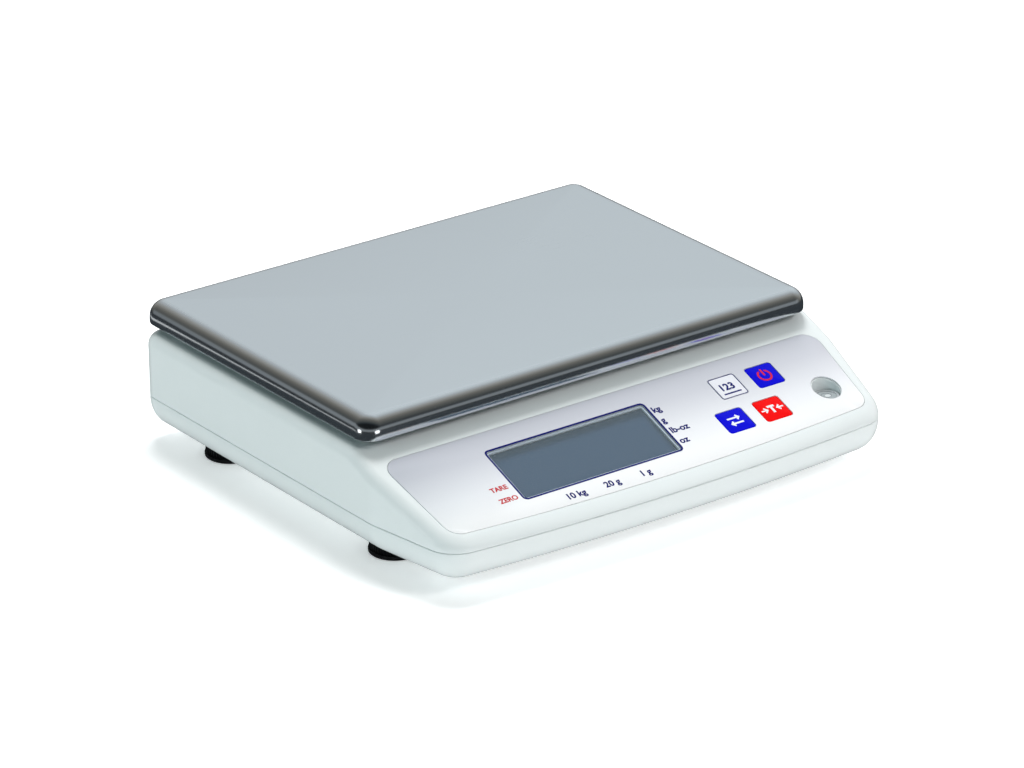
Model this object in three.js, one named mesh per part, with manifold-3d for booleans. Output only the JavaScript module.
// Bench scale: a stainless weighing pan over a low housing with a sloping control panel.
// Millimetres, +Z up, +X to the right of a person facing the panel, +Y to the back.
// While it is built, x = y = 0 is the middle of the pan and z = 0 is the table under the feet.
import * as THREE from 'three';
import { mergeVertices } from 'three/addons/utils/BufferGeometryUtils.js';
import Module from 'manifold-3d';

const wasm = await Module();
wasm.setup();

// ---------------------------------------------------------------- driving dimensions

const GAP = 0.3; // between pieces that touch when assembled
const RUN = 0.15; // radial, between a shaft and the hole it turns or slides in

// weighing pan
const panWidth = 280;
const panDepth = 200;
const panRim = 12;
const panSheet = 1.0;
const panEdgeRadius = 9;
const panCornerRadius = 10;
const panToDeck = 3;

// housing
const bodyWidth = 290;
const bodyBack = 95; // behind the middle of the pan
const bodyFront = 172; // in front of the middle of the pan, at the crown of the bowed front
const bowRadius = 1420;
const flankTaper = THREE.MathUtils.degToRad(8.2);
const flankTaperLength = 62; // from the crown of the front back to where the flanks run straight
const rearCornerRadius = 11;
const frontCornerRadius = 17;
const flankKinkRadius = 40;
const deckHeight = 59;
const seamHeight = 24.7;
const seamGap = 0.6;
const undersideHeight = 7.7;
const undersideInset = 12;
const wall = 2.5;
const topEdgeRadius = 6.5;
const panelSlope = THREE.MathUtils.degToRad(21.2);
const panelDepth = 82.4; // from the crown of the front back to where the slope meets the deck
const lipWidth = 1.6;
const lipHeight = 2.0;

// control panel, measured down the slope from its crest
const filmThickness = 0.5;
const filmRecess = 0.6;
const filmTop = 16.8;
const filmBottom = 79.2;
const filmBow = 3.6; // how much shorter the film is at its lower corners
const filmTopMargin = 9; // inside the widest part of the housing
const filmBottomMargin = 14.6;
const filmCornerRadius = 9;
const windowWidth = 97.6;
const windowHeight = 36.1;
const windowX = -32.4;
const windowY = 48;
const windowLedge = 1.2;
const windowCornerRadius = 2;
const keyWidth = 16.4;
const keyHeight = 15.1;
const keyCornerRadius = 1.5;
const keyTravel = 0.5;
const keyFlange = 1.2;
const keyFlangeThickness = 0.8;
const keyStemRadius = 1.75;
const keyRows = { upper: 36, lower: 58.5 };
const keyPitch = 23.8;
const keyPairX = { upper: 78.8, lower: 67 }; // middle of each pair of keys
const levelX = 116;
const levelY = 55.9;
const levelHoleRadius = 7.95;
const levelCupRadius = 7.5;
const levelCupWall = 2;
const levelVialRadius = 6.9;
const levelVialHeight = 6.5;
const levelDepth = 4; // of the vial's top under the panel, at the middle of its hole

// electronics
const lcdThickness = 2.8;
const lcdBorder = 3;
const lcdClearance = 0.5; // under the cover's inner face
const holderWall = 2;
const boardThickness = 1.6;
const boardStandoff = 5.8; // under the cover's inner face
const switchSize = 6;
const switchHeight = 3.5;
const displayBoardSize = { width: 200, height: 52, x: 4, y: 49 };
const mainBoardSize = { width: 80, depth: 52, x: 42, y: -52 };
const boardParts = {
  chip: { width: 14, depth: 14, height: 2, dx: -12, dy: 0 },
  header: { width: 22, depth: 6, height: 8, dx: 10, dy: -17 },
  terminal: { width: 10, depth: 8, height: 9, dx: 18, dy: 18 },
  capacitor: { radius: 4, height: 12, dx: -22, dy: 14 },
};
const batterySize = { width: 50, depth: 96, height: 24, x: -90, y: -10 };
const strapSheet = 1.2;
const strapWidth = 14;
const strapTab = 6;

// weighing mechanism
const cellLength = 110;
const cellWidth = 24;
const cellHeight = 22;
const cellBore = 7;
const cellBoreSpacing = 20;
const cellBlock = { length: 30, height: 4 };
const cellPadHeight = 4;
const cellScrewRadius = 2.5;
const cellScrewSpacing = 16;
const cellScrewGrip = 9; // how deep the upper screws reach into the cell
const carrierThickness = 6;
const carrierArmWidth = 16;
const carrierReach = { x: 102, y: 66 };
const carrierHub = { length: 34, width: 26 };
const carrierTravel = 0.4;
const bumperRadius = 8;
const bumperSpigotRadius = 3;
const throatRadius = 30;
const throatLip = { width: 3, height: 1.5 };
const stopScrewRadius = 2;
const stopBossWall = 3;
const stopGap = 0.6; // left under the cell at its full travel

// feet
const footFromFlank = 23;
const footFromFront = 74;
const footFromBack = 47;
const footRadius = 13.2;
const padRadius = 13.7;
const padHeight = 2.2;
const footFlutes = 20;
const footFluteDepth = 0.8;
const studRadius = 3;
const studLength = 12.4;
const insertWall = 1.2;
const insertLength = 10;
const bossWall = 2.6;

// fasteners
const caseScrew = { head: 3.2, headHeight: 2.4, shank: 1.5, length: 19 };
const boardScrew = { head: 2.7, headHeight: 1.8, shank: 1.2, length: 6 };
const caseScrewFromFlank = 16;
const caseScrewFromFront = 46;
const caseScrewFromBack = 18;
const caseBossRadius = { cover: 4.2, base: 5.4 };
const boardBossRadius = 3;
const threadBite = 0.2; // how much wider than the shank a screwed hole is modelled

// power inlet
const socketX = 70;
const socketZ = 40;
const socketBarrel = 4;
const socketFlange = { radius: 5.6, thickness: 1.5 };
const socketBore = 3.1;
const socketPin = 1;
const socketLength = 13;
const socketNut = { acrossFlats: 11, thickness: 2.5 };

// ---------------------------------------------------------------- derived places

const panelCrest = bodyFront - panelDepth; // in front of the middle of the pan
const flankTaperStart = bodyFront - flankTaperLength;
const filmTopHalfWidth = bodyWidth / 2 - filmTopMargin;
const filmBottomHalfWidth = bodyWidth / 2 - filmBottomMargin;
const footX = bodyWidth / 2 - footFromFlank;
const footFront = bodyFront - footFromFront;
const footRear = bodyBack - footFromBack;
const caseScrewX = bodyWidth / 2 - caseScrewFromFlank;
const caseScrewFront = bodyFront - caseScrewFromFront;
const caseScrewRear = bodyBack - caseScrewFromBack;
const lcdDepth = wall + lcdClearance;
const boardDepth = wall + boardStandoff;

const deckUnderside = deckHeight - wall;
const floorTop = undersideHeight + wall;
const panBottom = deckHeight + panToDeck;
const panTop = panBottom + panRim;
const panUnderside = panTop - panSheet;
const cellPadTop = floorTop + cellPadHeight;
const cellBottom = cellPadTop + cellBlock.height + 2 * GAP;
const cellTop = cellBottom + cellHeight;
const topBlockTop = cellTop + GAP + cellBlock.height;
const hubBottom = topBlockTop + carrierTravel + GAP;
const carrierBottom = deckHeight + throatLip.height + carrierTravel + 1.4;
const carrierTop = carrierBottom + carrierThickness;
const cellEndX = cellLength / 2 - cellBlock.length / 2;
const bumperHeight = panUnderside - carrierTop - 2 * GAP;
const knobTop = undersideHeight - 0.4;
const switchTop = -boardDepth + GAP + switchHeight;

// ---------------------------------------------------------------- solids

function solidOf(geometry) {
  const bare = geometry.index ? geometry.clone() : geometry;
  bare.deleteAttribute('normal');
  bare.deleteAttribute('uv');
  const merged = mergeVertices(bare, 1e-4);
  return new wasm.Manifold(new wasm.Mesh({
    numProp: 3,
    vertProperties: new Float32Array(merged.attributes.position.array),
    triVerts: new Uint32Array(merged.index.array),
  }));
}

function geometryOf(solid) {
  const mesh = solid.getMesh();
  const geometry = new THREE.BufferGeometry();
  geometry.setAttribute('position', new THREE.BufferAttribute(new Float32Array(mesh.vertProperties), 3));
  geometry.setIndex(Array.from(mesh.triVerts));
  geometry.computeVertexNormals();
  return geometry;
}

const join = (first, ...rest) => rest.reduce((sum, piece) => sum.add(piece), first);
const cut = (first, ...rest) => rest.reduce((left, tool) => left.subtract(tool), first);

// A box that stands on height z, with x and y at its middle.
function block(width, depth, height, x, y, z) {
  return new THREE.BoxGeometry(width, depth, height).translate(x, y, z + height / 2);
}

// An upright cylinder that stands on height z.
function rod(radius, height, x, y, z, sides = 20) {
  return new THREE.CylinderGeometry(radius, radius, height, sides)
    .rotateX(Math.PI / 2)
    .translate(x, y, z + height / 2);
}

// A solid of revolution about the upright axis, from [radius, height] pairs that start and end on it.
function turned(profile, sides) {
  const points = profile.map(([radius, height]) => new THREE.Vector2(radius, height));
  return new THREE.LatheGeometry(points, sides).rotateX(Math.PI / 2);
}

// A closed skin over rings of equal count, listed from the lowest ring to the highest.
function loft(rings) {
  const count = rings[0].length;
  const positions = rings.flat().flatMap((point) => [point.x, point.y, point.z]);
  const faces = [];
  for (let ring = 0; ring < rings.length - 1; ring += 1) {
    for (let i = 0; i < count; i += 1) {
      const a = ring * count + i;
      const b = ring * count + (i + 1) % count;
      faces.push(a, b, b + count, a, b + count, a + count);
    }
  }
  const flat = (ring) => ring.map((point) => new THREE.Vector2(point.x, point.y));
  const last = (rings.length - 1) * count;
  for (const [i, j, k] of THREE.ShapeUtils.triangulateShape(flat(rings[0]), [])) faces.push(k, j, i);
  for (const [i, j, k] of THREE.ShapeUtils.triangulateShape(flat(rings.at(-1)), [])) {
    faces.push(last + i, last + j, last + k);
  }
  const geometry = new THREE.BufferGeometry();
  geometry.setAttribute('position', new THREE.Float32BufferAttribute(positions, 3));
  geometry.setIndex(faces);
  return geometry;
}

// A polygon with each corner {x, y, radius, steps} rounded by an arc, listed counter-clockwise.
function rounded(corners) {
  const outline = [];
  corners.forEach((corner, i) => {
    const before = corners.at(i - 1);
    const after = corners[(i + 1) % corners.length];
    if (!corner.radius) {
      outline.push(new THREE.Vector2(corner.x, corner.y));
      return;
    }
    const toBefore = new THREE.Vector2(before.x - corner.x, before.y - corner.y).normalize();
    const toAfter = new THREE.Vector2(after.x - corner.x, after.y - corner.y).normalize();
    const half = Math.acos(toBefore.dot(toAfter)) / 2;
    const bisector = toBefore.clone().add(toAfter).normalize();
    const centre = new THREE.Vector2(corner.x, corner.y)
      .addScaledVector(bisector, corner.radius / Math.sin(half));
    const middle = Math.atan2(-bisector.y, -bisector.x);
    const sweep = Math.PI / 2 - half;
    for (let step = 0; step <= corner.steps; step += 1) {
      const angle = middle + sweep * (2 * step / corner.steps - 1);
      outline.push(new THREE.Vector2(
        centre.x + corner.radius * Math.cos(angle),
        centre.y + corner.radius * Math.sin(angle),
      ));
    }
  });
  return outline;
}

function roundedRectangle(width, height, radius, steps, x = 0, y = 0) {
  const corner = (sx, sy) => ({ x: x + sx * width / 2, y: y + sy * height / 2, radius, steps });
  return rounded([corner(1, -1), corner(1, 1), corner(-1, 1), corner(-1, -1)]);
}

const atHeight = (outline, z) => outline.map((point) => new THREE.Vector3(point.x, point.y, z));

// An outline extruded upwards from height z.
function slab(outline, thickness, z) {
  const options = { depth: thickness, bevelEnabled: false, steps: 1 };
  return new THREE.ExtrudeGeometry(new THREE.Shape(outline), options).translate(0, 0, z);
}

// A round wire along a smooth curve through the given points.
function wire(points, radius, steps) {
  const section = new THREE.Shape(
    Array.from({ length: 8 }, (_, i) => {
      const angle = i * Math.PI / 4;
      return new THREE.Vector2(radius * Math.cos(angle), radius * Math.sin(angle));
    }),
  );
  const path = new THREE.CatmullRomCurve3(points.map((point) => new THREE.Vector3(...point)));
  return new THREE.ExtrudeGeometry(section, { extrudePath: path, steps, bevelEnabled: false });
}

// ---------------------------------------------------------------- the model's tree

const scale = new THREE.Group();
const panel = new THREE.Group();
panel.position.set(0, -panelCrest, deckHeight);
panel.rotation.x = panelSlope;
panel.updateMatrix();
scale.add(panel);

const finishes = {
  stainless: { color: '#b9c0c6', roughness: 0.3, metalness: 1 },
  aluminium: { color: '#b4b6b8', roughness: 0.45, metalness: 1 },
  steel: { color: '#9a9da0', roughness: 0.4, metalness: 1 },
  brass: { color: '#b5985a', roughness: 0.4, metalness: 1 },
  shell: { color: '#e4eaeb', roughness: 0.35, metalness: 0 },
  film: { color: '#d9d9e2', roughness: 0.4, metalness: 0 },
  clear: { color: '#dfe6ea', roughness: 0.05, metalness: 0 },
  lcd: { color: '#5b6d80', roughness: 0.15, metalness: 0 },
  rubber: { color: '#141517', roughness: 0.85, metalness: 0 },
  knob: { color: '#0c0d0f', roughness: 0.55, metalness: 0 },
  blueKey: { color: '#1a20a0', roughness: 0.4, metalness: 0 },
  redKey: { color: '#e01818', roughness: 0.4, metalness: 0 },
  whiteKey: { color: '#eceef2', roughness: 0.4, metalness: 0 },
  board: { color: '#1f6b3a', roughness: 0.6, metalness: 0 },
  blackPlastic: { color: '#1b1c1e', roughness: 0.5, metalness: 0 },
  cable: { color: '#3a3c40', roughness: 0.6, metalness: 0 },
  battery: { color: '#2c3138', roughness: 0.5, metalness: 0 },
};

function place(name, shape, finish, parent = scale) {
  const geometry = shape instanceof THREE.BufferGeometry ? shape : geometryOf(shape);
  const mesh = new THREE.Mesh(geometry, new THREE.MeshStandardMaterial(finishes[finish]));
  mesh.name = name;
  parent.add(mesh);
  return mesh;
}

const onPanel = (geometry) => geometry.applyMatrix4(panel.matrix);
const levelCentre = new THREE.Vector3(levelX, -levelY, 0).applyMatrix4(panel.matrix);
const vialTop = levelCentre.z - levelDepth;
const vialSeat = vialTop - levelVialHeight - GAP;

// ---------------------------------------------------------------- housing outline

const panelHeightAt = (y) => deckHeight + (y + panelCrest) * Math.tan(panelSlope);

// The housing seen from above, moved inwards by an inset. The flanks run straight from the back,
// lean in towards the front, and meet a front that is one shallow arc.
function bodyOutline(inset) {
  const half = bodyWidth / 2 - inset;
  const sine = Math.sin(flankTaper);
  const cosine = Math.cos(flankTaper);
  const kinkY = -flankTaperStart + inset * sine - inset * (1 - cosine) / sine * cosine;
  const bow = bowRadius - inset;
  const bowCentre = bowRadius - bodyFront;
  const fromCentre = { x: half, y: kinkY - bowCentre };
  const along = -(fromCentre.x * sine + fromCentre.y * cosine);
  const miss = fromCentre.x ** 2 + fromCentre.y ** 2 - bow ** 2;
  const reach = -along + Math.sqrt(along ** 2 - miss);
  const cornerX = half - reach * sine;
  const cornerY = kinkY - reach * cosine;
  const keep = (radius) => Math.max(radius - inset, 1);
  const corner = (x, y, radius, steps) => ({ x, y, radius: keep(radius), steps });
  const front = [];
  const bowSteps = 6;
  const bowAngle = Math.asin(cornerX / bow);
  for (let step = 1; step < bowSteps; step += 1) {
    const angle = bowAngle * (2 * step / bowSteps - 1);
    front.push({ x: bow * Math.sin(angle), y: bowCentre - bow * Math.cos(angle) });
  }
  return rounded([
    corner(-half, bodyBack - inset, rearCornerRadius, 4),
    corner(-half, kinkY, flankKinkRadius, 2),
    corner(-cornerX, cornerY, frontCornerRadius, 4),
    ...front,
    corner(cornerX, cornerY, frontCornerRadius, 4),
    corner(half, kinkY, flankKinkRadius, 2),
    corner(half, bodyBack - inset, rearCornerRadius, 4),
  ]);
}

const quarter = (steps) => Array.from({ length: steps + 1 }, (_, i) => i / steps * Math.PI / 2);

// The cover's outer form, or with a depth its inner form: a flat-topped block and a sloped one,
// both with a rounded upper edge, of which the cover is what they have in common.
function coverForm(depth, bottom) {
  const radius = topEdgeRadius - depth / 2;
  const rim = bodyOutline(depth);
  const flatRings = [atHeight(rim, bottom)];
  const slopedRings = [atHeight(rim, bottom)];
  const slopeTop = (y) => panelHeightAt(y) - depth / Math.cos(panelSlope);
  for (const angle of quarter(depth ? 2 : 4)) {
    const ring = bodyOutline(depth + radius * (1 - Math.cos(angle)));
    const drop = 1 - Math.sin(angle);
    flatRings.push(atHeight(ring, deckHeight - depth - radius * drop));
    slopedRings.push(ring.map((point, i) => {
      const room = slopeTop(rim[i].y) - bottom - 0.2;
      return new THREE.Vector3(point.x, point.y, slopeTop(point.y) - Math.min(radius, room) * drop);
    }));
  }
  return solidOf(loft(flatRings)).intersect(solidOf(loft(slopedRings)));
}

// ---------------------------------------------------------------- control panel pieces

const keyNames = [
  { name: 'key_pieces', row: 'upper', side: -1, finish: 'whiteKey' },
  { name: 'key_power', row: 'upper', side: 1, finish: 'blueKey' },
  { name: 'key_units', row: 'lower', side: -1, finish: 'blueKey' },
  { name: 'key_tare', row: 'lower', side: 1, finish: 'redKey' },
];
const keyPlaces = keyNames.map(({ name, row, side, finish }) => ({
  name,
  finish,
  x: keyPairX[row] + side * keyPitch / 2,
  y: -keyRows[row],
}));

// The film's outline, smaller by an inset: straight top, leaning sides, bowed lower edge.
function filmOutline(inset) {
  const lower = [];
  const steps = 8;
  for (let step = 1; step < steps; step += 1) {
    const along = 2 * step / steps - 1;
    lower.push({
      x: along * (filmBottomHalfWidth - inset),
      y: -filmBottom + inset + filmBow * along ** 2,
    });
  }
  const top = (side) => ({
    x: side * (filmTopHalfWidth - inset),
    y: -filmTop - inset,
    radius: filmCornerRadius - inset,
    steps: 4,
  });
  const bottom = (side) => ({
    x: side * (filmBottomHalfWidth - inset),
    y: -filmBottom + filmBow + inset,
    radius: filmCornerRadius - inset,
    steps: 4,
  });
  return rounded([top(-1), bottom(-1), ...lower, bottom(1), top(1)]);
}

const windowOutline = (grow) => roundedRectangle(
  windowWidth + 2 * grow,
  windowHeight + 2 * grow,
  windowCornerRadius + grow,
  3,
  windowX,
  -windowY,
);
const keyOutline = ({ x, y }, grow) => roundedRectangle(
  keyWidth + 2 * grow,
  keyHeight + 2 * grow,
  keyCornerRadius + grow,
  2,
  x,
  y,
);

function placeFilm() {
  const bottom = GAP - filmRecess;
  const through = (outline) => solidOf(slab(outline, 4 * filmThickness, bottom - filmThickness));
  const levelHole = rod(levelHoleRadius, 20, levelCentre.x, levelCentre.y, levelCentre.z - 10, 24);
  levelHole.applyMatrix4(panel.matrix.clone().invert());
  const film = cut(
    solidOf(slab(filmOutline(GAP), filmThickness, bottom)),
    through(windowOutline(GAP)),
    solidOf(levelHole),
    ...keyPlaces.map((key) => through(keyOutline(key, GAP))),
  );
  place('control_film', film, 'film', panel);
  place('display_window', slab(windowOutline(0), filmThickness, bottom), 'clear', panel);
}

// Each key is a cap with a flange under the cover that keeps it in, and a stem over its switch.
function placeKeys() {
  const top = GAP - filmRecess + filmThickness;
  const flangeTop = -wall - GAP;
  const stemBottom = switchTop - 0.5;
  for (const key of keyPlaces) {
    const cap = solidOf(slab(keyOutline(key, 0), top - flangeTop + 0.1, flangeTop - 0.1));
    const flange = slab(keyOutline(key, keyFlange), keyFlangeThickness, flangeTop - keyFlangeThickness);
    const stemHeight = flangeTop - keyFlangeThickness - stemBottom + 0.1;
    const stem = rod(keyStemRadius, stemHeight, key.x, key.y, stemBottom, 12);
    place(key.name, join(cap, solidOf(flange), solidOf(stem)), key.finish, panel);
    const body = cut(
      solidOf(block(switchSize, switchSize, switchHeight, key.x, key.y, switchTop - switchHeight)),
      solidOf(rod(keyStemRadius + GAP, 2, key.x, key.y, switchTop - 0.5 - keyTravel - GAP, 12)),
    );
    place(key.name.replace('key_', 'switch_'), body, 'blackPlastic', panel);
  }
}

const displayScrewPlaces = [-1, 1].map((side) => ({
  x: displayBoardSize.x + side * (displayBoardSize.width / 2 - 4),
  y: -displayBoardSize.y - side * (displayBoardSize.height / 2 - 4),
}));

function placeDisplay() {
  const glassWidth = windowWidth + 2 * lcdBorder;
  const glassHeight = windowHeight + 2 * lcdBorder;
  const glassBottom = -lcdDepth - lcdThickness;
  const glass = block(glassWidth, glassHeight, lcdThickness, windowX, -windowY, glassBottom);
  place('lcd_glass', glass, 'lcd', panel);
  const trayBottom = -boardDepth + GAP;
  const trayWidth = glassWidth + 2 * (holderWall + GAP);
  const trayHeight = glassHeight + 2 * (holderWall + GAP);
  const nest = { width: glassWidth + 2 * GAP, height: glassHeight + 2 * GAP };
  const tray = cut(
    solidOf(block(trayWidth, trayHeight, -lcdDepth - trayBottom, windowX, -windowY, trayBottom)),
    solidOf(block(nest.width, nest.height, boardDepth, windowX, -windowY, glassBottom - GAP)),
  );
  place('lcd_holder', tray, 'shell', panel);
  const { width, height, x, y } = displayBoardSize;
  const holes = displayScrewPlaces.map((at) => (
    solidOf(rod(boardScrew.shank + GAP, 3 * boardThickness, at.x, at.y, -boardDepth - 2 * boardThickness, 12))
  ));
  const board = cut(
    solidOf(block(width, height, boardThickness, x, -y, -boardDepth - boardThickness)),
    ...holes,
  );
  place('display_board', board, 'board', panel);
  displayScrewPlaces.forEach((at, i) => {
    const screw = panHeadScrew(boardScrew);
    screw.translate(at.x, at.y, -boardDepth - boardThickness - GAP);
    place(`display_screw_${i + 1}`, screw, 'steel', panel);
  });
}

// ---------------------------------------------------------------- fasteners

// A pan-head screw, shank up, with the underside of its head at the origin.
function panHeadScrew({ head, headHeight, shank, length }) {
  return turned([
    [0, -headHeight],
    [head * 0.7, -headHeight * 0.85],
    [head, -headHeight * 0.3],
    [head, 0],
    [shank, 0],
    [shank, length - shank],
    [0, length],
  ], 10);
}

const caseScrewPlaces = [-1, 1].flatMap((side) => [
  { x: side * caseScrewX, y: -caseScrewFront },
  { x: side * caseScrewX, y: caseScrewRear },
]);
const caseScrewSeat = undersideHeight + caseScrew.headHeight + 3;
const baseBossTop = seamHeight - 1;
const coverBossBottom = baseBossTop + GAP;

const cellScrewPlaces = [-1, 1].map((side) => side * cellScrewSpacing / 2);
const cellScrew = { head: 4.2, headHeight: 2.4, shank: cellScrewRadius, length: 16 };
const cellScrewSeat = undersideHeight + cellScrew.headHeight + 2 * GAP;
const cellScrewTop = cellTop - cellScrewGrip + cellScrew.length; // underside of the upper heads

// ---------------------------------------------------------------- top cover

function placeTopCover() {
  const bottom = seamHeight + seamGap / 2;
  const outer = coverForm(0, bottom);
  const inside = coverForm(wall, bottom - 1);

  // bosses, clipped to the outer form so that they end in the roof
  const bossHeight = deckHeight - coverBossBottom;
  const caseBosses = caseScrewPlaces.map(({ x, y }) => (
    solidOf(rod(caseBossRadius.cover, bossHeight, x, y, coverBossBottom, 16))
  ));
  const boardBosses = displayScrewPlaces.map(({ x, y }) => (
    solidOf(onPanel(rod(boardBossRadius, boardDepth - GAP - 1, x, y, -boardDepth + GAP, 12)))
  ));
  const belowOuter = block(
    bodyWidth,
    bodyFront + bodyBack,
    caseScrew.length,
    0,
    (bodyBack - bodyFront) / 2,
    bottom - caseScrew.length,
  );
  const bounds = outer.add(solidOf(belowOuter));
  const bosses = [...caseBosses, ...boardBosses].map((boss) => boss.intersect(bounds));

  // the level's cup is upright, so its floor is level and its mouth is cut off by the slope
  const { x: cupX, y: cupY } = levelCentre;
  const cupFloor = vialSeat - wall;
  const cupRod = rod(levelCupRadius + levelCupWall, deckHeight - cupFloor, cupX, cupY, cupFloor, 24);
  const cup = solidOf(cupRod).intersect(outer);
  const cupHole = solidOf(rod(levelCupRadius, deckHeight, cupX, cupY, vialSeat, 24));

  const throatRim = throatRadius + throatLip.width;
  const throat = solidOf(rod(throatRim, throatLip.height + wall, cellEndX, 0, deckUnderside, 28));
  const shell = join(cut(outer, inside), cup, throat, ...bosses);

  const recess = solidOf(onPanel(slab(filmOutline(0), 5, -filmRecess)));
  const display = solidOf(onPanel(slab(windowOutline(-windowLedge), 20, -10)));
  const keyHoles = keyPlaces.map((key) => solidOf(onPanel(slab(keyOutline(key, GAP), 8, -6))));
  const throatHole = solidOf(rod(throatRadius, 20, cellEndX, 0, deckHeight - 10, 28));
  const screwHoles = caseScrewPlaces.map(({ x, y }) => (
    solidOf(rod(caseScrew.shank + threadBite, caseScrew.length, x, y, caseScrewSeat + 1, 12))
  ));
  const boardHoles = displayScrewPlaces.map(({ x, y }) => (
    solidOf(onPanel(rod(boardScrew.shank + threadBite, boardScrew.length, x, y, -boardDepth - 1, 12)))
  ));
  const socketHole = new THREE.CylinderGeometry(socketBarrel + RUN, socketBarrel + RUN, 12, 20)
    .translate(socketX, bodyBack, socketZ);
  place('top_cover', cut(
    shell,
    recess,
    display,
    cupHole,
    throatHole,
    solidOf(socketHole),
    ...keyHoles,
    ...screwHoles,
    ...boardHoles,
  ), 'shell');
  const vial = rod(levelVialRadius, levelVialHeight, levelCentre.x, levelCentre.y, vialSeat + GAP, 24);
  place('level_vial', vial, 'clear');
}

// ---------------------------------------------------------------- base

const feet = [
  { name: 'front_left', x: -footX, y: -footFront },
  { name: 'front_right', x: footX, y: -footFront },
  { name: 'rear_left', x: -footX, y: footRear },
  { name: 'rear_right', x: footX, y: footRear },
];
const insertRadius = studRadius + RUN + insertWall;
const insertBottom = undersideHeight + 3.5;
const footBossRadius = insertRadius + bossWall;

function placeBase() {
  const top = seamHeight - seamGap / 2;
  const rings = quarter(4).reverse().map((angle) => {
    const inset = undersideInset * (1 - Math.cos(angle));
    const rise = (top - 1 - undersideHeight) * (1 - Math.sin(angle));
    return atHeight(bodyOutline(inset), undersideHeight + rise);
  });
  rings.push(atHeight(bodyOutline(0), top));
  const lipOuter = wall + GAP;
  const lipInner = lipOuter + lipWidth;
  const lipRoot = 5; // how far the lip runs down inside the wall
  const middleY = (bodyBack - bodyFront) / 2;
  const lipBlock = block(bodyWidth, bodyFront + bodyBack, lipRoot + lipHeight, 0, middleY, top - lipRoot);
  const lip = coverForm(lipOuter, top - lipRoot - 1).intersect(solidOf(lipBlock));
  const hollow = loft([
    atHeight(bodyOutline(undersideInset), floorTop),
    atHeight(bodyOutline(lipInner + 2), floorTop + 5),
    atHeight(bodyOutline(lipInner), floorTop + 9),
    atHeight(bodyOutline(lipInner), top + lipHeight + 5),
  ]);
  const tub = cut(join(solidOf(loft(rings)), lip), solidOf(hollow));

  const sunk = floorTop - 1;
  const caseBosses = caseScrewPlaces.map(({ x, y }) => (
    solidOf(rod(caseBossRadius.base, baseBossTop - sunk, x, y, sunk, 16))
  ));
  const footBosses = feet.map(({ x, y }) => (
    solidOf(rod(footBossRadius, insertBottom + insertLength - sunk, x, y, sunk, 18))
  ));
  const pad = block(cellBlock.length + 4, cellWidth + 4, cellPadTop - sunk, -cellEndX, 0, sunk);
  const standoffs = mainBoardCorners.map(({ x, y }) => (
    solidOf(rod(boardBossRadius, mainBoardBottom - GAP - sunk, x, y, sunk, 12))
  ));
  const stopBoss = rod(stopScrewRadius + stopBossWall, cellPadTop - sunk, cellEndX, 0, sunk, 16);

  const counterbores = caseScrewPlaces.flatMap(({ x, y }) => [
    solidOf(rod(caseScrew.head + 0.5, caseScrewSeat - undersideHeight + 1, x, y, undersideHeight - 1, 16)),
    solidOf(rod(caseScrew.shank + GAP, 20, x, y, undersideHeight, 12)),
  ]);
  const insertHoles = feet.flatMap(({ x, y }) => [
    solidOf(rod(insertRadius + GAP, 20, x, y, insertBottom - GAP, 18)),
    solidOf(rod(studRadius + GAP, 20, x, y, undersideHeight - 1, 16)),
  ]);
  const cellBoreDepth = cellScrewSeat - undersideHeight + 1;
  const cellHoles = cellScrewPlaces.flatMap((offset) => [
    solidOf(rod(cellScrew.head + GAP, cellBoreDepth, offset - cellEndX, 0, undersideHeight - 1, 16)),
    solidOf(rod(cellScrew.shank + GAP, 20, offset - cellEndX, 0, undersideHeight, 12)),
  ]);
  const stopHole = rod(stopScrewRadius + threadBite, 20, cellEndX, 0, undersideHeight - 1, 12);
  const { shank, length } = boardScrew;
  const boardHoles = mainBoardCorners.map(({ x, y }) => (
    solidOf(rod(shank + threadBite, length, x, y, mainBoardBottom - length, 12))
  ));
  place('base_tub', cut(
    join(tub, ...caseBosses, ...footBosses, solidOf(pad), ...standoffs, solidOf(stopBoss)),
    ...counterbores,
    ...insertHoles,
    ...cellHoles,
    solidOf(stopHole),
    ...boardHoles,
  ), 'shell');
}

const mainBoardBottom = floorTop + 6;
const mainBoardCorners = [-1, 1].map((side) => ({
  x: mainBoardSize.x + side * (mainBoardSize.width / 2 - 4),
  y: mainBoardSize.y + side * (mainBoardSize.depth / 2 - 4),
}));

function placeCaseScrews() {
  caseScrewPlaces.forEach(({ x, y }, i) => {
    const screw = panHeadScrew(caseScrew).translate(x, y, caseScrewSeat - GAP);
    place(`case_screw_${i + 1}`, screw, 'steel');
  });
}

// ---------------------------------------------------------------- feet

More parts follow.
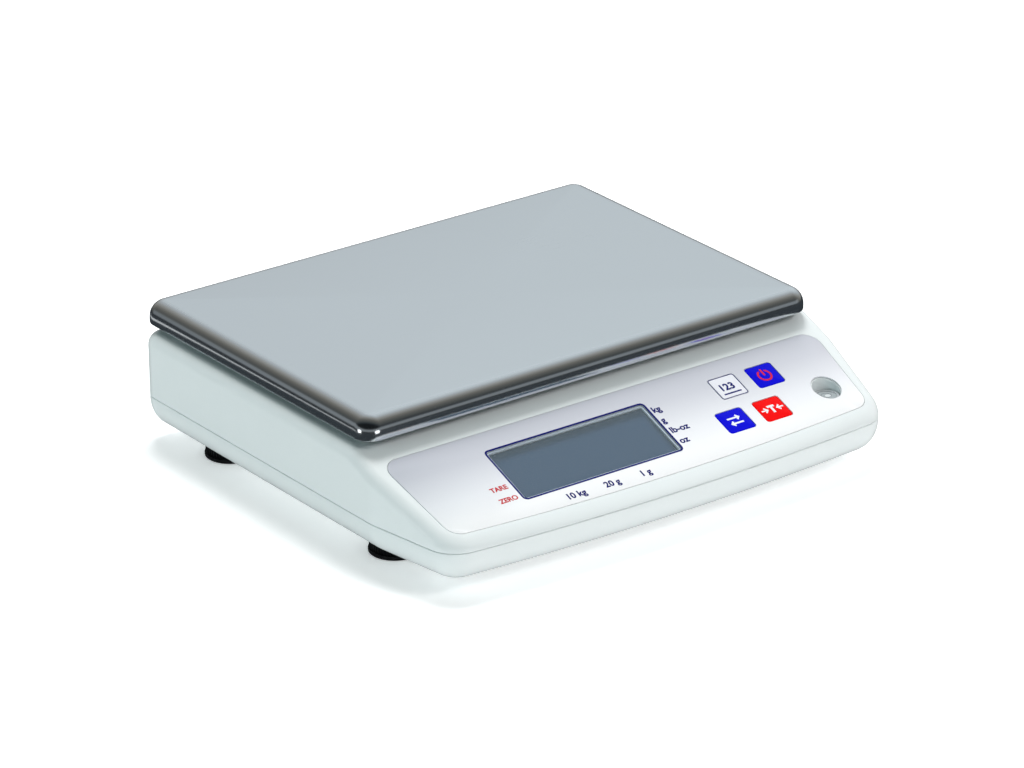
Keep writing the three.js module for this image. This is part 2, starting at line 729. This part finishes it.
// A foot is a fluted knob on a threaded stud, with a rubber pad under it that swivels.
function placeFeet() {
  const knobBottom = padHeight + GAP;
  const pivot = 2.5;
  for (const { name, x, y } of feet) {
    const rim = Array.from({ length: 2 * footFlutes }, (_, i) => {
      const angle = i / footFlutes * Math.PI;
      const radius = footRadius - (i % 2) * footFluteDepth;
      return new THREE.Vector2(radius * Math.cos(angle), radius * Math.sin(angle));
    });
    const disc = slab(rim, knobTop - knobBottom, knobBottom);
    const stud = rod(studRadius, studLength, 0, 0, knobTop - 0.5, 16);
    const socket = rod(pivot + RUN, 2.2, 0, 0, knobBottom - 1, 16);
    const knob = geometryOf(cut(join(solidOf(disc), solidOf(stud)), solidOf(socket)));
    place(`foot_knob_${name}`, knob, 'knob').position.set(x, y, 0);
    const pad = turned([
      [0, 0],
      [padRadius - 1, 0],
      [padRadius, 0.8],
      [padRadius, padHeight],
      [pivot, padHeight],
      [pivot, knobBottom + 0.9],
      [0, knobBottom + 0.9],
    ], 24);
    place(`foot_pad_${name}`, pad, 'rubber').position.set(x, y, 0);
    const insert = cut(
      solidOf(rod(insertRadius, insertLength, 0, 0, insertBottom, 18)),
      solidOf(rod(studRadius + RUN, insertLength + 4, 0, 0, insertBottom - 2, 16)),
    );
    place(`foot_insert_${name}`, insert, 'brass').position.set(x, y, 0);
  }
}

// ---------------------------------------------------------------- weighing mechanism

function placeCell() {
  const middle = cellBottom + cellHeight / 2;
  const across = (radius, x) => (
    new THREE.CylinderGeometry(radius, radius, cellWidth + 4, 20).translate(x, 0, middle)
  );
  const fixedHoles = cellScrewPlaces.map((offset) => (
    solidOf(rod(cellScrewRadius + GAP, 12, offset - cellEndX, 0, cellBottom - 2, 12))
  ));
  const freeHoles = cellScrewPlaces.map((offset) => (
    solidOf(rod(cellScrewRadius + GAP, 14, offset + cellEndX, 0, cellTop - 12, 12))
  ));
  const beam = cut(
    solidOf(block(cellLength, cellWidth, cellHeight, 0, 0, cellBottom)),
    solidOf(across(cellBore, -cellBoreSpacing / 2)),
    solidOf(across(cellBore, cellBoreSpacing / 2)),
    solidOf(block(cellBoreSpacing, cellWidth + 4, cellBore, 0, 0, middle - cellBore / 2)),
    ...fixedHoles,
    ...freeHoles,
  );
  place('load_cell', beam, 'aluminium');

  const spacer = (x, z) => cut(
    solidOf(block(cellBlock.length, cellWidth, cellBlock.height, x, 0, z)),
    ...cellScrewPlaces.map((offset) => solidOf(rod(cellScrewRadius + GAP, 20, offset + x, 0, z - 5, 12))),
  );
  place('cell_lower_spacer', spacer(-cellEndX, cellPadTop + GAP), 'steel');
  place('cell_upper_spacer', spacer(cellEndX, cellTop + GAP), 'steel');

  cellScrewPlaces.forEach((offset, i) => {
    const lower = panHeadScrew(cellScrew).translate(offset - cellEndX, 0, cellScrewSeat - GAP);
    place(`cell_screw_lower_${i + 1}`, lower, 'steel');
    const upper = panHeadScrew(cellScrew).rotateX(Math.PI);
    upper.translate(offset + cellEndX, 0, cellScrewTop);
    place(`cell_screw_upper_${i + 1}`, upper, 'steel');
  });
  const stopBottom = undersideHeight + GAP;
  const stopLength = cellBottom - carrierTravel - stopGap - stopBottom;
  place('overload_stop_screw', rod(stopScrewRadius, stopLength, cellEndX, 0, stopBottom, 12), 'steel');
}

const bumperPlaces = [
  { name: 'front_left', x: -carrierReach.x, y: -carrierReach.y },
  { name: 'front_right', x: carrierReach.x, y: -carrierReach.y },
  { name: 'rear_left', x: -carrierReach.x, y: carrierReach.y },
  { name: 'rear_right', x: carrierReach.x, y: carrierReach.y },
];

// The carrier is a cast cross whose hub reaches down through the cover to the cell's free end.
function placeCarrier() {
  const span = 2 * Math.hypot(carrierReach.x, carrierReach.y);
  const lean = Math.atan2(carrierReach.y, carrierReach.x);
  const arm = (angle) => {
    const bar = new THREE.BoxGeometry(span, carrierArmWidth, carrierThickness).rotateZ(angle);
    return solidOf(bar.translate(0, 0, carrierBottom + carrierThickness / 2));
  };
  const ends = bumperPlaces.map(({ x, y }) => (
    solidOf(rod(bumperRadius + 3, carrierThickness, x, y, carrierBottom, 20))
  ));
  const plate = block(2 * cellEndX + carrierHub.length, 46, carrierThickness, 0, 0, carrierBottom);
  const hub = block(carrierHub.length, carrierHub.width, carrierTop - hubBottom - 1, cellEndX, 0, hubBottom);
  const holes = cellScrewPlaces.flatMap((offset) => [
    solidOf(rod(cellScrew.head + GAP, 40, cellEndX + offset, 0, cellScrewTop - GAP, 16)),
    solidOf(rod(cellScrewRadius + GAP, 30, cellEndX + offset, 0, hubBottom - 5, 12)),
  ]);
  const spigotHoles = bumperPlaces.map(({ x, y }) => (
    solidOf(rod(bumperSpigotRadius + GAP, 20, x, y, carrierBottom - 5, 14))
  ));
  place('pan_carrier', cut(
    join(arm(lean), arm(-lean), ...ends, solidOf(plate), solidOf(hub)),
    ...holes,
    ...spigotHoles,
  ), 'aluminium');
  const dome = 1;
  for (const { name, x, y } of bumperPlaces) {
    const bumper = turned([
      [0, carrierBottom + 1],
      [bumperSpigotRadius, carrierBottom + 1],
      [bumperSpigotRadius, carrierTop + GAP],
      [bumperRadius, carrierTop + GAP],
      [bumperRadius, carrierTop + GAP + bumperHeight - dome],
      [bumperRadius - dome, carrierTop + GAP + bumperHeight],
      [0, carrierTop + GAP + bumperHeight],
    ], 16);
    place(`pan_bumper_${name}`, bumper, 'rubber').position.set(x, y, 0);
  }
}

function placePan() {
  const outline = (inset) => roundedRectangle(
    panWidth - 2 * inset,
    panDepth - 2 * inset,
    Math.max(panCornerRadius - inset, 1),
    5,
  );
  const skin = (depth, bottom) => {
    const radius = panEdgeRadius - depth;
    const rings = [atHeight(outline(depth), bottom)];
    for (const angle of quarter(4)) {
      const inset = depth + radius * (1 - Math.cos(angle));
      rings.push(atHeight(outline(inset), panTop - depth - radius * (1 - Math.sin(angle))));
    }
    return solidOf(loft(rings));
  };
  place('weighing_pan', cut(skin(0, panBottom), skin(panSheet, panBottom - 1)), 'stainless');
}

// ---------------------------------------------------------------- electronics in the base

const mainBoardTop = mainBoardBottom + boardThickness;
const rearWall = bodyBack - wall;

function placeElectronics() {
  const { width, depth, x, y } = mainBoardSize;
  const holeBottom = mainBoardBottom - boardThickness;
  const holes = mainBoardCorners.map((at) => (
    solidOf(rod(boardScrew.shank + GAP, 3 * boardThickness, at.x, at.y, holeBottom, 12))
  ));
  const board = cut(solidOf(block(width, depth, boardThickness, x, y, mainBoardBottom)), ...holes);
  const seat = mainBoardTop - 0.2;
  const onBoard = (body) => (
    solidOf(block(body.width, body.depth, body.height, x + body.dx, y + body.dy, seat))
  );
  const { radius, height, dx, dy } = boardParts.capacitor;
  place('main_board', join(
    board,
    onBoard(boardParts.chip),
    onBoard(boardParts.header),
    onBoard(boardParts.terminal),
    solidOf(rod(radius, height, x + dx, y + dy, seat, 14)),
  ), 'board');
  mainBoardCorners.forEach((at, i) => {
    const screw = panHeadScrew(boardScrew).rotateX(Math.PI).translate(at.x, at.y, mainBoardTop + GAP);
    place(`main_board_screw_${i + 1}`, screw, 'steel');
  });

  const cell = batterySize;
  place('battery', block(cell.width, cell.depth, cell.height, cell.x, cell.y, floorTop + GAP), 'battery');
  const strapBottom = floorTop + GAP;
  const strapInner = { width: cell.width + 2 * GAP, height: cell.height + GAP };
  const strapOuter = { width: strapInner.width + 2 * strapSheet, height: strapInner.height + strapSheet };
  const strap = cut(
    solidOf(block(strapOuter.width, strapWidth, strapOuter.height, cell.x, cell.y, strapBottom)),
    solidOf(block(strapInner.width, strapWidth + 2, strapInner.height + 3, cell.x, cell.y, strapBottom - 3)),
  );
  const tabs = [-1, 1].map((side) => {
    const tabX = cell.x + side * (strapInner.width + strapTab) / 2;
    return solidOf(block(strapTab, strapWidth, strapSheet, tabX, cell.y, strapBottom));
  });
  place('battery_strap', join(strap, ...tabs), 'steel');
}

// A round inlet for a low-voltage plug, held in the rear wall by its nut.
function placeSocket() {
  const lying = (radius, length, front, sides = 20) => (
    new THREE.CylinderGeometry(radius, radius, length, sides).translate(socketX, front + length / 2, socketZ)
  );
  const outside = bodyBack + GAP;
  const end = outside + socketFlange.thickness;
  const boreDepth = 9;
  const body = join(
    cut(
      join(
        solidOf(lying(socketFlange.radius, socketFlange.thickness, outside)),
        solidOf(lying(socketBarrel, socketLength, outside - socketLength + 0.5)),
      ),
      solidOf(lying(socketBore, boreDepth + 1, end - boreDepth)),
    ),
    solidOf(lying(socketPin, boreDepth - 1, end - boreDepth - 0.5, 10)),
  );
  place('power_socket', body, 'blackPlastic');
  const nutRadius = socketNut.acrossFlats / 2 / Math.cos(Math.PI / 6);
  const nut = cut(
    solidOf(lying(nutRadius, socketNut.thickness, rearWall - GAP - socketNut.thickness, 6)),
    solidOf(lying(socketBarrel + RUN, 12, rearWall - 9)),
  );
  place('power_socket_nut', nut, 'steel');
}

// Wires that stay inside the housing, clipped along their routes.
function placeWires() {
  const board = mainBoardSize;
  const socketBack = bodyBack + GAP - socketLength + 0.5 - GAP;
  const { header, terminal } = boardParts;
  const headerTop = mainBoardTop + header.height + GAP;
  const headerFront = board.y + header.dy - header.depth / 2;
  const terminalBack = board.y + terminal.dy + terminal.depth / 2;
  place('cell_cable', wire([
    [-cellLength / 2 - GAP, 4, cellTop - 6],
    [-cellLength / 2 - 4, 3, cellTop - 6],
    [-cellLength / 2 - 5, -6, cellTop - 7],
    [-cellLength / 2 + 4, -22, cellTop - 10],
    [-20, -34, headerTop + 3],
    [board.x - 38, -50, headerTop + 1],
    [board.x - 28, -52, mainBoardTop + 2.2],
  ], 1.2, 16), 'cable');
  place('battery_lead', wire([
    [batterySize.x + 10, batterySize.y - batterySize.depth / 2 - GAP, floorTop + 16],
    [batterySize.x + 12, -68, floorTop + 16],
    [-50, -88, floorTop + 12],
    [0, -90, floorTop + 10],
    [board.x - 4, -86, mainBoardTop + 5],
    [board.x + 10, headerFront - 1.6, mainBoardTop + 4],
  ], 1, 16), 'redKey');
  place('socket_lead', wire([
    [socketX, socketBack, socketZ],
    [socketX, socketBack - 8, socketZ],
    [socketX + 4, 50, socketZ - 6],
    [socketX + 4, 10, socketZ - 14],
    [board.x + 18, -20, mainBoardTop + 5],
    [board.x + 18, terminalBack + 1.6, mainBoardTop + 4],
  ], 1, 16), 'cable');
  const ribbonStart = new THREE.Vector3(0, -displayBoardSize.y, -boardDepth - boardThickness - GAP)
    .applyMatrix4(panel.matrix);
  const ribbonEnd = headerFront - 1;
  const ribbonAt = (share) => THREE.MathUtils.lerp(ribbonStart.y, ribbonEnd, share);
  place('display_ribbon', wire([
    [board.x + 4, ribbonStart.y, ribbonStart.z - 1],
    [board.x + 4, ribbonStart.y + 2, ribbonStart.z - 7],
    [board.x + 6, ribbonAt(0.47), headerTop + 4],
    [board.x + 10, ribbonAt(0.85), headerTop + 3],
    [board.x + 10, ribbonEnd, headerTop + 1.2],
  ], 1.2, 14), 'cable');
}

placePan();
placeCarrier();
placeCell();
placeTopCover();
placeFilm();
placeKeys();
placeDisplay();
placeBase();
placeCaseScrews();
placeFeet();
placeElectronics();
placeSocket();
placeWires();

// The origin moves to the middle of the whole object's footprint, on the table.
scale.position.y = (bodyFront - Math.max(panDepth / 2, bodyBack + GAP + socketFlange.thickness)) / 2;
scale.updateMatrixWorld(true);

export default scale;
